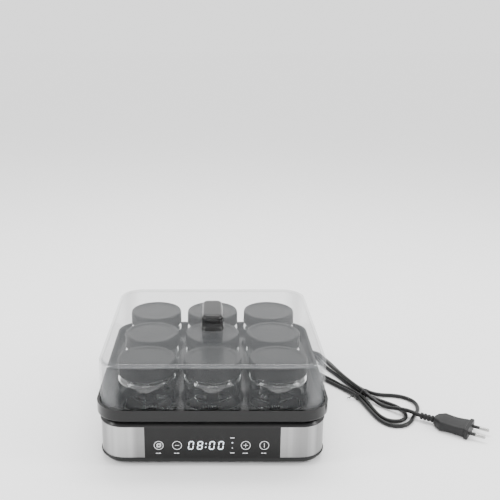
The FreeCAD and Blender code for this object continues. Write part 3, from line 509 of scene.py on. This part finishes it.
def make_piece(name, shape, body, slot, nodes=(), smooth=40.0, place=None):
    """A mesh object with its finish, riding on its body and standing for its CAD nodes."""
    mesh = bpy.data.meshes.new(name)
    mesh.from_pydata(shape[0], [], shape[1])
    if place:
        mesh.transform(place)
    mesh.validate()
    tidy = bmesh.new()
    tidy.from_mesh(mesh)
    bmesh.ops.remove_doubles(tidy, verts=tidy.verts, dist=1e-7)
    bmesh.ops.recalc_face_normals(tidy, faces=tidy.faces)
    tidy.to_mesh(mesh)
    tidy.free()
    mesh.materials.append(FINISHES[slot])
    mesh.shade_smooth()
    mesh.set_sharp_from_angle(angle=math.radians(smooth))
    piece = bpy.data.objects.new(name, mesh)
    bpy.context.collection.objects.link(piece)
    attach(piece, body)
    if nodes:
        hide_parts(*nodes)
    return piece


def merged(shapes):
    """Several shapes as one."""
    vertices, faces = [], []
    for points, polygons in shapes:
        base = len(vertices)
        vertices += list(points)
        faces += [tuple(base + corner for corner in polygon) for polygon in polygons]
    return vertices, faces


print("mesh helpers ready")

# %% [markdown]
# ## Clear cover
# The cover is one thin moulding: straight walls, generous corners and a small round along the top.
# Stacking rounded squares from the middle of its inside, over the rim and back to the middle of its
# outside gives a closed shell whose wall is the same everywhere.

# %% Build the cover
def make_cover():
    """A closed shell with rounded top edges and small chamfers round the rim at its mouth."""
    bottom, top = low("cover"), high("cover")
    half, corner, wall, edge = high("cover", 0), 28 * MM, 2.5 * MM, 5 * MM
    rings = []
    inner, inner_edge = half - wall, edge - wall
    for offset, height in arc((inner - inner_edge, top - wall - inner_edge), inner_edge, 90, 0, 6):
        rings.append(rounded_ring(offset, offset, corner - wall - (inner - offset) * 0.5, height, 14))
    rings.append(rounded_ring(inner, inner, corner - wall, bottom + 0.6 * MM, 14))
    rings.append(rounded_ring(inner + 0.6 * MM, inner + 0.6 * MM, corner - wall + 0.6 * MM, bottom, 14))
    rings.append(rounded_ring(half - 0.6 * MM, half - 0.6 * MM, corner - 0.6 * MM, bottom, 14))
    rings.append(rounded_ring(half, half, corner, bottom + 0.6 * MM, 14))
    for offset, height in arc((half - edge, top - edge), edge, 0, 90, 10):
        rings.append(rounded_ring(offset, offset, corner - (half - offset) * 0.5, height, 14))
    return make_piece("clear_cover", stacked(rings), "cover", "clear_plastic", ["cover"], smooth=30)


def make_handle():
    """A bar that swells slightly towards its foot, with a crowned top."""
    bottom, top = low("cover_handle"), high("cover_handle")
    half_x, half_y, corner = high("cover_handle", 0), high("cover_handle", 1), 9 * MM
    crown = 4 * MM
    rings = [rounded_ring(half_x, half_y, corner, bottom)]
    for share, inset in ((0.06, 0.0), (0.14, 0.5), (0.30, 1.1), (0.55, 1.3)):
        shrink = inset * MM
        rings.append(rounded_ring(half_x - shrink, half_y - shrink, corner - shrink,
                                  bottom + share * (top - bottom)))
    shrink = 1.3 * MM
    for offset, height in arc((0, top - crown), crown, 0, 80, 8):
        inset = shrink + crown - offset
        rings.append(rounded_ring(half_x - inset, half_y - inset, max(corner - inset, 3 * MM), height))
    rings.append(rounded_ring(half_x * 0.45, half_y * 0.7, 4 * MM, top))
    return make_piece("bar_handle", stacked(rings), "cover", "handle_black", ["cover_handle"], smooth=50)


cover, handle = make_cover(), make_handle()
print("cover faces", len(cover.data.polygons), "handle faces", len(handle.data.polygons))

# %% [markdown]
# ## Jars and caps
# A jar is pressed glass, so it is turned: a standing ring, a stepped heel, a straight wall, a round
# shoulder and a threaded mouth. The thread is a ridge whose height climbs with the angle. A cap has
# fine upright ribs all round, a raised ring on top and a sunk disc inside it.

# %% Build one jar and one cap, nine times
def jar_shape():
    """The glass, inside and outside, with a thread on its mouth."""
    bottom, top = low("jar_middle_centre"), high("jar_middle_centre")
    radius, foot, mouth = high("jar_middle_centre", 0), 25 * MM, 29.2 * MM
    shoulder = top - 14.4 * MM
    outer = [(0, bottom + 1.6 * MM), (foot - 5 * MM, bottom + 1.4 * MM), (foot - 3 * MM, bottom + 0.3 * MM),
             (foot - 1.2 * MM, bottom), (foot, bottom + 0.5 * MM), (foot + 0.3 * MM, bottom + 2.0 * MM)]
    outer += arc((radius - 6.5 * MM, bottom + 8.8 * MM), 6.5 * MM, -80, 0, 7)
    outer += [(radius, bottom + 24 * MM), (radius, shoulder - 14 * MM)]
    outer += arc((radius - 6 * MM, shoulder - 6 * MM), 6 * MM, 0, 62, 7)
    outer += [(mouth, shoulder + 0.6 * MM)]
    thread_start = len(outer)
    steps = 22
    outer += [(mouth, shoulder + 1.5 * MM + 10.5 * MM * k / steps) for k in range(steps + 1)]
    thread_end = len(outer)
    lip, wall = mouth - 0.2 * MM, 2.6 * MM
    outer += arc((lip - 1.1 * MM, top - 1.1 * MM), 1.1 * MM, 0, 180, 8)
    inner = [(lip - 2.2 * MM, shoulder + 1 * MM)]
    inner += arc((radius - wall - 5 * MM, shoulder - wall - 5 * MM), 5 * MM, 62, 0, 6)
    inner += [(radius - wall, bottom + 26 * MM)]
    inner += arc((radius - wall - 5.5 * MM, bottom + 10.8 * MM), 5.5 * MM, 0, -85, 7)
    inner += [(foot - 8 * MM, bottom + 5.6 * MM), (0, bottom + 6.2 * MM)]
    segments = 96
    pitch, ridge = 6 * MM, 1.0 * MM

    def thread(index, step):
        """How far the thread stands out at a point of the mouth."""
        if not thread_start <= index < thread_end:
            return 0.0
        height = outer[index][1] - shoulder - 1.5 * MM
        turn = (height / pitch - step / segments) % 1.0
        fade = min(1.0, height / (1.5 * MM), (10.5 * MM - height) / (1.5 * MM))
        return ridge * max(0.0, fade) * max(0.0, 1 - abs(turn - 0.5) / 0.16)

    return turned(outer + inner, segments, thread)


def cap_shape():
    """A ribbed cap; its mouth is open below."""
    bottom, top = low("cap_middle_centre"), high("cap_middle_centre")
    radius, disc = high("cap_middle_centre", 0), 26.5 * MM
    rib, height = 0.55 * MM, top - bottom
    profile = [(0, top - 2.0 * MM), (30.2 * MM, top - 2.0 * MM), (30.7 * MM, top - 2.6 * MM),
               (30.9 * MM, bottom), (radius - 0.5 * MM, bottom), (radius, bottom + 0.5 * MM),
               (radius, bottom + 1.5 * MM)]
    ribbed = len(profile)
    profile += [(radius - 0.15 * MM, bottom + 2.0 * MM), (radius - 0.25 * MM, bottom + height * 0.5),
                (radius - 0.35 * MM, top - 2.4 * MM), (radius - 0.6 * MM, top - 1.4 * MM)]
    last = len(profile)
    profile += arc((radius - 2.0 * MM, top - 1.2 * MM), 1.2 * MM, 10, 90, 5)
    profile += [(disc + 1.0 * MM, top)]
    profile += arc((disc + 1.0 * MM, top - 0.5 * MM), 0.5 * MM, 90, 180, 3)
    profile += [(disc + 0.4 * MM, top - 0.75 * MM), (disc - 0.6 * MM, top - 0.8 * MM),
                (disc * 0.6, top - 0.72 * MM), (0, top - 0.7 * MM)]
    ribs, steps = 84, 4
    wave = (0.0, 0.0, -rib, -rib)

    def ripple(index, step):
        """Sinks two of every four points of the ribbed rows."""
        return wave[step % steps] if ribbed <= index < last else 0.0

    return turned(profile, ribs * steps, ripple)


def make_jars():
    """Puts a copy of the jar and the cap at each of the nine places."""
    glass, cap = jar_shape(), cap_shape()
    for name in JAR_NAMES:
        shift = Matrix.Translation(jar_place(name))
        make_piece(f"glass_jar_{name}", glass, f"jar_{name}", "jar_glass", [f"jar_{name}"], 60, shift)
        make_piece(f"ribbed_cap_{name}", cap, f"cap_{name}", "cap_black", [f"cap_{name}"], 35, shift)
    print("jar faces", len(glass[1]), "cap faces", len(cap[1]))


make_jars()

# %% [markdown]
# ## Edges of the moulded CAD parts
# The rack and the housings come straight from CAD, with knife-sharp edges that catch no light. A
# narrow bevel gives each edge the thin highlight that a real moulding has.

# %% Soften the mouldings
def soften(node, width):
    """A narrow rounded bevel on every sharp edge of a CAD node."""
    piece = frame["nodes"][node]
    bevel = piece.modifiers.new("soft_edges", "BEVEL")
    bevel.width, bevel.segments, bevel.limit_method = width, 2, "ANGLE"
    bevel.angle_limit = math.radians(38)
    bevel.use_clamp_overlap = True
    piece.data.shade_smooth()
    piece.data.set_sharp_from_angle(angle=math.radians(38))


for node, width in (("jar_rack", 0.5), ("top_housing", 0.5), ("bottom_housing", 0.4), ("control_panel", 0.5),
                    ("heating_plate", 0.4), ("steel_band", 0.15), ("rubber_feet", 0.6)):
    soften(node, width * MM)
print("edges softened")

# %% [markdown]
# ## Control panel
# Four touch keys are printed on the panel as rings with a plain symbol, and a lit clock sits between
# them. Short dashes stand in for the small captions. Everything is a print, so it is a thin plate
# just proud of the panel.

# %% Draw the keys and the clock
PRINT = 0.06 * MM
KEY_LEVEL = (low("touch_springs", 2) + high("touch_springs", 2)) / 2
KEY_PLACES = (-58.6, -38.6, 36.2, 56.4)
LAMP_COLUMN = 21.6 * MM
DIGIT_LEAN = 0.12


def plate_on_panel(outline, hole=None):
    """A thin plate in front of the panel from (x, z) points; hole is an outline of equal length."""
    front, back = PANEL_FACE - PRINT, PANEL_FACE + PRINT
    size = len(outline)
    vertices = [(x, y, z) for y in (front, back) for x, z in outline]
    if hole is None:
        faces = [tuple(range(size)), tuple(range(2 * size - 1, size - 1, -1))]
        faces += [(k, (k + 1) % size, size + (k + 1) % size, size + k) for k in range(size)]
        return vertices, faces
    vertices += [(x, y, z) for y in (front, back) for x, z in hole]
    faces = []
    rims = ((0, 2), (1, 3), (0, 1), (2, 3))
    for k in range(size):
        ahead = (k + 1) % size
        faces += [(first * size + k, first * size + ahead, second * size + ahead, second * size + k)
                  for first, second in rims]
    return vertices, faces


def bar_on_panel(x, z, width, height):
    """A small bar with its middle at (x, z)."""
    half_w, half_h = width / 2, height / 2
    return plate_on_panel([(x - half_w, z - half_h), (x + half_w, z - half_h),
                           (x + half_w, z + half_h), (x - half_w, z + half_h)])


def circle_points(x, z, radius, steps=48):
    """Points round a circle on the panel."""
    return [(x + radius * math.cos(2 * math.pi * k / steps), z + radius * math.sin(2 * math.pi * k / steps))
            for k in range(steps)]


def square_points(x, z, half):
    """The corners of a square on the panel."""
    return [(x - half, z - half), (x + half, z - half), (x + half, z + half), (x - half, z + half)]


def make_keys():
    """Rings with a symbol each, and dashes where captions would be."""
    line, ring, stroke, dash = 0.55 * MM, 5.2 * MM, 4.6 * MM, 0.8 * MM
    set_key, less_key, more_key, power_key = (x * MM for x in KEY_PLACES)
    frames = []
    for across, up in ((-0.3, -0.3), (0.6, 0.5)):
        x, z = set_key + across * MM, KEY_LEVEL + up * MM
        frames.append(plate_on_panel(square_points(x, z, 2.0 * MM), square_points(x, z, 1.5 * MM)))
    symbols = {
        set_key: frames,
        less_key: [bar_on_panel(less_key, KEY_LEVEL, stroke, line)],
        more_key: [bar_on_panel(more_key, KEY_LEVEL, stroke, line),
                   bar_on_panel(more_key, KEY_LEVEL, line, stroke)],
        power_key: [bar_on_panel(power_key, KEY_LEVEL, line, 5.0 * MM)],
    }
    shapes, captions = [], []
    for x, symbol in symbols.items():
        shapes.append(plate_on_panel(circle_points(x, KEY_LEVEL, ring),
                                     circle_points(x, KEY_LEVEL, ring - line)))
        shapes += symbol
        for offset, width in ((-2.1, 2.2), (0.9, 2.6)):
            captions.append(bar_on_panel(x + offset * MM, KEY_LEVEL - 9.6 * MM, width * MM, dash))
    for level in (9.2, -9.2):
        captions.append(bar_on_panel(LAMP_COLUMN, KEY_LEVEL + level * MM, stroke, dash))
    # the rings, symbols and captions use the faintly glowing legend finish: a painted glow on a print
    make_piece("key_rings", merged(shapes), "base", "legend_white")
    make_piece("key_captions", merged(captions), "base", "legend_white")


def digit(x, lit):
    """One seven-segment digit whose segments are named a to g."""
    height, width, thick, gap = 10.4 * MM, 6.0 * MM, 1.15 * MM, 0.25 * MM
    shapes = []

    def segment(cx, cz, length, upright):
        """Adds a six-sided bar, sheared with its height on the panel."""
        reach, side = length / 2 - gap, thick / 2
        points = [(-reach, 0), (-reach + side, -side), (reach - side, -side), (reach, 0),
                  (reach - side, side), (-reach + side, side)]
        if upright:
            points = [(-b, a) for a, b in points]
        shapes.append(plate_on_panel([(x + cx + a + DIGIT_LEAN * (cz + b), KEY_LEVEL + cz + b)
                                      for a, b in points]))

    edge, level = width / 2 - thick / 2, height / 2 - thick / 2
    tall, wide = level, width - thick
    for name, cx, cz, length, upright in (
            ("a", 0, level, wide, False), ("g", 0, 0, wide, False), ("d", 0, -level, wide, False),
            ("f", -edge, level / 2, tall, True), ("b", edge, level / 2, tall, True),
            ("e", -edge, -level / 2, tall, True), ("c", edge, -level / 2, tall, True)):
        if name in lit:
            segment(cx, cz, length, upright)
    return shapes


def make_clock():
    """Four digits, a colon and two indicator lamps."""
    shapes = []
    for x, lit in ((-23.4, "abcdef"), (-13.6, "abcdefg"), (-0.6, "abcdef"), (9.2, "abcdef")):
        shapes += digit(x * MM, lit)
    for level in (-2.2, 2.2):
        colon = (-7.1 + DIGIT_LEAN * level) * MM
        shapes.append(plate_on_panel(circle_points(colon, KEY_LEVEL + level * MM, 0.75 * MM, 20)))
    lamp = 3.2 * MM
    shapes.append(plate_on_panel(circle_points(LAMP_COLUMN, KEY_LEVEL + lamp, 0.7 * MM, 20)))
    make_piece("clock_digits", merged(shapes), "base", "display_white")
    make_piece("idle_lamp", plate_on_panel(circle_points(LAMP_COLUMN, KEY_LEVEL - lamp, 0.6 * MM, 20)),
               "base", "legend_white")


make_keys()
make_clock()
print("panel printed at level", round(KEY_LEVEL, 4))

# %% [markdown]
# ## Mains cord
# The cord leaves the gland behind the base, sinks to the worktop and is folded into a flat hank of
# five strands. A quadratic NURBS line through listed control points gives it the easy curves
# of a real cable. Where one strand lies over another, the line rises in a low hump.

# %% Lay the cord
FLOOR_LEVEL = 2.6
CORD_RADIUS = 2.5 * MM
LEAD = [(48, 137, 17), (48, 155, 17), (54, 172, 12), (67, 184, 6.5), (84, 190), (102, 190)]
OUTER_STRAND = [(121, 188), (138, 181), (152, 170), (163, 153), (170, 133), (176, 112), (183, 91), (190, 72),
                (197, 56, 3.0), (206, 43, 3.8), (220, 37, 3.0)]
OUTER_FOLD = [(236, 37), (250, 32), (260, 20), (261, 5), (256, -9), (248, -20), (242, -33), (231, -42),
              (217, -42), (206, -31), (200, -13), (196, 5), (192, 21, 3.4)]
HIDDEN_STRAND = [(187, 36, 3.8), (179, 49, 3.0), (169, 63), (158, 78), (146, 93), (133, 109), (121, 125),
                 (114, 142), (116, 159), (127, 170), (142, 170), (152, 158), (156, 141), (161, 124),
                 (168, 107), (176, 89), (183, 71), (191, 54, 3.2), (199, 39, 3.8)]
INNER_FOLD = [(210, 27, 3.2), (223, 17), (235, 6), (241, -7), (240, -21), (230, -31), (216, -30), (207, -18),
              (203, -2), (200, 13, 3.2), (196, 29, 3.8)]
LAST_STRAND = [(188, 45, 3.2), (177, 61), (166, 78), (154, 94), (142, 110), (131, 126), (123, 140),
               (123, 154, 2.8), (132, 163.5, 4.6), (146, 163.5, 8.4), (157, 154, 8.4), (161, 138, 8.0),
               (166, 118, 7.8), (173, 100, 7.8), (181, 79, 7.8), (188, 60, 8.2), (195, 42, 9.0),
               (203, 26, 7.4), (213, 12, 3.4), (223, 2, 3.4), (232, -6, 6.4), (240, -13, 8.7),
               (248, -18.8, 8.3), (256, -24.3, 6.8)]


def make_cord():
    """One open NURBS line whose control points are the strands in order."""
    line = bpy.data.curves.new("cord_line", "CURVE")
    line.dimensions = "3D"
    line.bevel_depth, line.bevel_resolution, line.use_fill_caps = CORD_RADIUS, 5, True
    line.resolution_u = 8
    points = LEAD + OUTER_STRAND + OUTER_FOLD + HIDDEN_STRAND + INNER_FOLD + LAST_STRAND
    spline = line.splines.new("NURBS")
    spline.points.add(len(points) - 1)
    for control, point in zip(spline.points, points):
        height = point[2] if len(point) == 3 else FLOOR_LEVEL
        control.co = (point[0] * MM, point[1] * MM, height * MM, 1)
    spline.order_u = 3
    spline.use_endpoint_u = True
    line.materials.append(FINISHES["cord_black"])
    cord = bpy.data.objects.new("mains_cord_line", line)
    bpy.context.collection.objects.link(cord)
    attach(cord, "base")
    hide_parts("mains_cord", "cord_hank")
    print("cord length", round(spline.calc_length(), 3), "m from", len(points), "points")
    return cord, spline.calc_length()


cord, cord_length = make_cord()

# %% [markdown]
# ## What is on the cord
# A grooved bend relief comes out of the base, a soft wire tie holds the hank together, and the cord
# ends in a flat moulded plug. The plug is built lying along X and is then turned to its heading.

# %% Gland, tie and plug
def swept(path, radius, sides=10, closed=False):
    """A round tube that follows the points of a path."""
    vertices, count = [], len(path)
    up = Vector((0.13, 0.21, 0.97))
    for index, point in enumerate(path):
        before = path[index - 1] if closed or index else path[0]
        after = path[(index + 1) % count] if closed or index < count - 1 else path[-1]
        ahead = (Vector(after) - Vector(before)).normalized()
        side = ahead.cross(up).normalized()
        lift = side.cross(ahead)
        for step in range(sides):
            angle = 2 * math.pi * step / sides
            vertices.append(tuple(Vector(point) + (side * math.cos(angle) + lift * math.sin(angle)) * radius))
    rings = [vertices[k * sides:(k + 1) * sides] for k in range(count)]
    return stacked(rings, closed)


def grooved_profile(start, end, first, last, core, grooves):
    """(radius, position) pairs of a tapering relief with grooves cut down to its core."""
    pitch, profile = (end - start) / grooves, []
    for k in range(grooves):
        here = start + k * pitch
        outer = first + (last - first) * (k + 0.3) / grooves
        profile += [(core, here), (outer - 0.3 * MM, here), (outer, here + 0.25 * MM),
                    (outer, here + 0.6 * pitch - 0.25 * MM), (outer - 0.3 * MM, here + 0.6 * pitch),
                    (core, here + 0.6 * pitch)]
    return profile + [(core, end)]


def make_gland():
    """Neck, flange and tapered relief, turned about the cord where it leaves the wall."""
    wall, rear = high("steel_band", 1), high("cord_gland", 1)
    profile = [(0, low("cord_gland", 1)), (4.1 * MM, low("cord_gland", 1)), (4.1 * MM, wall),
               (6.2 * MM, wall), (6.5 * MM, wall + 0.4 * MM), (6.5 * MM, wall + 1.6 * MM),
               (6.0 * MM, wall + 2.2 * MM)]
    profile += grooved_profile(wall + 2.2 * MM, rear, 4.8 * MM, 3.4 * MM, 3.0 * MM, 4) + [(0, rear)]
    exit_x, exit_level = LEAD[0][0] * MM, LEAD[0][2] * MM
    turn = Matrix.Translation((exit_x, 0, exit_level)) @ Matrix.Rotation(math.radians(-90), 4, "X")
    return make_piece("cord_relief", turned(profile, 40), "base", "cord_black", ["cord_gland"], 40, turn)


def make_tie():
    """A soft wire wrapped once round the strands, with its twisted tail on top."""
    wire = 0.62 * MM
    across, along = Vector((0.819, 0.574, 0)), Vector((0.574, -0.819, 0))
    centre = Vector((197, 34, 0))
    section = [(-11.5, 1.0), (-9.0, 0.65), (-3.0, 0.62), (4.0, 0.62), (10.5, 0.65), (13.6, 1.2), (14.9, 3.4),
               (13.8, 6.0), (9.5, 8.6), (5.5, 11.4), (2.0, 12.6), (-1.8, 11.9), (-5.5, 9.0), (-9.8, 7.0),
               (-12.3, 4.4), (-12.6, 2.2)]
    loop = [(centre + across * a) * MM + Vector((0, 0, h * MM)) for a, h in section]
    tail = []
    for k in range(26):
        reach, angle = k * 0.5, k * 0.9
        spot = centre + across * (-9.5 - reach * 0.8) - along * (1 + reach * 0.6)
        spot += along * (0.7 * math.cos(angle))
        tail.append(spot * MM + Vector((0, 0, (7.4 - reach * 0.42 + 0.7 * math.sin(angle)) * MM)))
    shape = merged([swept(loop, wire, 10, True), swept(tail, wire, 8)])
    return make_piece("wire_tie", shape, "base", "tie_black", ["cord_tie"], 60)


PLUG_X, PLUG_Y, PLUG_AXIS = (number * MM for number in LAST_STRAND[-1])
PLUG_HEADING = math.radians(-33.3)
PLUG_TURN = Matrix.Translation((PLUG_X, PLUG_Y, 0)) @ Matrix.Rotation(PLUG_HEADING, 4, "Z")


def make_plug():
    """Grooved relief, shouldered body with hollowed grips, and a flange.

    Each section is a place along the plug, its half width, its half height and its corner radius."""
    lay = Matrix.Rotation(math.radians(90), 4, "Y")
    axis = Matrix.Translation((0, 0, PLUG_AXIS))
    relief = turned([(0, 0)] + grooved_profile(0, 17.7 * MM, 4.2 * MM, 4.2 * MM, 3.1 * MM, 4), 32)
    sections = [(17.0, 4.6, 4.4, 2.0), (18.4, 5.4, 5.0, 2.0), (19.6, 8.4, 5.8, 2.6),
                (23.5, 11.2, 6.2, 3.2), (26.2, 13.6, 6.4, 3.2), (27.6, 14.0, 6.3, 3.0),
                (31.5, 13.9, 5.7, 2.8), (36.0, 13.6, 5.3, 2.6), (42.0, 13.5, 5.2, 2.6),
                (48.0, 13.7, 5.5, 2.6), (53.0, 14.0, 6.0, 2.6), (55.4, 14.0, 6.1, 2.6),
                (55.9, 16.2, 6.4, 3.4), (56.4, 16.9, 6.8, 3.6), (59.4, 17.0, 6.8, 3.6),
                (60.2, 16.4, 6.3, 3.2)]
    rings = [rounded_ring(half_up * MM, half_side * MM, corner * MM, ahead * MM, 6)
             for ahead, half_side, half_up, corner in sections]
    relief = ([tuple(lay @ Vector(v)) for v in relief[0]], relief[1])
    body = stacked(rings)
    body = ([tuple(lay @ Vector(v)) for v in body[0]], body[1])
    return make_piece("flat_plug", merged([relief, body]), "base", "plug_black", ["plug_body"], 32,
                      PLUG_TURN @ axis)


def make_pins():
    """Two pins: a black sleeve near the plug and a round-ended metal tip."""
    tip, sleeve = [], []
    start, end, radius, half_spacing, dome = 60.2 * MM, 79.2 * MM, 2 * MM, 9.3 * MM, 1.4 * MM
    lay = Matrix.Rotation(math.radians(90), 4, "Y")
    tip_profile = [(0, start + 8 * MM), (radius, start + 8 * MM), (radius, end - dome)]
    tip_profile += arc((radius - dome, end - dome), dome, 0, 90, 5) + [(0, end)]
    sleeve_profile = [(0, start - 1 * MM), (1.9 * MM, start - 1 * MM), (1.9 * MM, start + 9.6 * MM),
                      (1.7 * MM, start + 10 * MM), (0, start + 10 * MM)]
    for side in (-1, 1):
        shift = Matrix.Translation((0, side * half_spacing, 0)) @ lay
        for profile, shapes in ((tip_profile, tip), (sleeve_profile, sleeve)):
            made = turned(profile, 24)
            shapes.append(([tuple(shift @ Vector(v)) for v in made[0]], made[1]))
    place = PLUG_TURN @ Matrix.Translation((0, 0, PLUG_AXIS))
    return [make_piece("pin_tips", merged(tip), "base", "pin_metal", ["plug_pins"], 40, place),
            make_piece("pin_sleeves", merged(sleeve), "base", "sleeve_black", (), 40, place)]


gland, tie, plug = make_gland(), make_tie(), make_plug()
[gland, tie, plug] + make_pins()
print("relief", gland.name, "tie", tie.name, "plug", plug.name)

# %% [markdown]
# ## Ribs of the rack
# Each jar hole has a low bead round its top edge and fine upright ribs inside its collar, which
# steady the jar. The bead's profile closes on itself, so its middle stays open.

# %% Add beads and ribs
def make_rack_ribs():
    """Ribs and beads for the nine holes, as one mesh."""
    wall_above, rib_length = 11 * MM, 12 * MM
    top = high("jar_rack") - wall_above
    bottom = top - rib_length
    hole, ribs, depth, width, sunk = 35.3 * MM, 44, 0.9 * MM, 1.0 * MM, 0.2 * MM
    bead = [(hole, top - 0.4 * MM), (hole, top + 0.5 * MM), (hole + 0.5 * MM, top + 0.9 * MM),
            (hole + 1.1 * MM, top + 0.9 * MM), (hole + 1.6 * MM, top + 0.4 * MM),
            (hole + 1.7 * MM, top - 0.4 * MM)]
    section = ((hole + sunk, -width / 2), (hole + sunk, width / 2), (hole - depth, width / 4),
               (hole - depth, -width / 4))
    shapes = []
    for name in JAR_NAMES:
        centre = jar_place(name)
        vertices, faces = turned(bead, 72, ring=True)
        shapes.append(([tuple(Vector(v) + centre) for v in vertices], faces))
        for k in range(ribs):
            angle = 2 * math.pi * (k + 0.5) / ribs
            out = Vector((math.cos(angle), math.sin(angle), 0))
            side = Vector((-math.sin(angle), math.cos(angle), 0))
            rings = []
            for level in (bottom, top + 0.2 * MM):
                rings.append([tuple(centre + out * reach + side * shift + Vector((0, 0, level)))
                              for reach, shift in section])
            shapes.append(stacked(rings))
    return make_piece("collar_ribs", merged(shapes), "rack", "rack_black", (), 40)


ribs = make_rack_ribs()
print("rib faces", len(ribs.data.polygons))
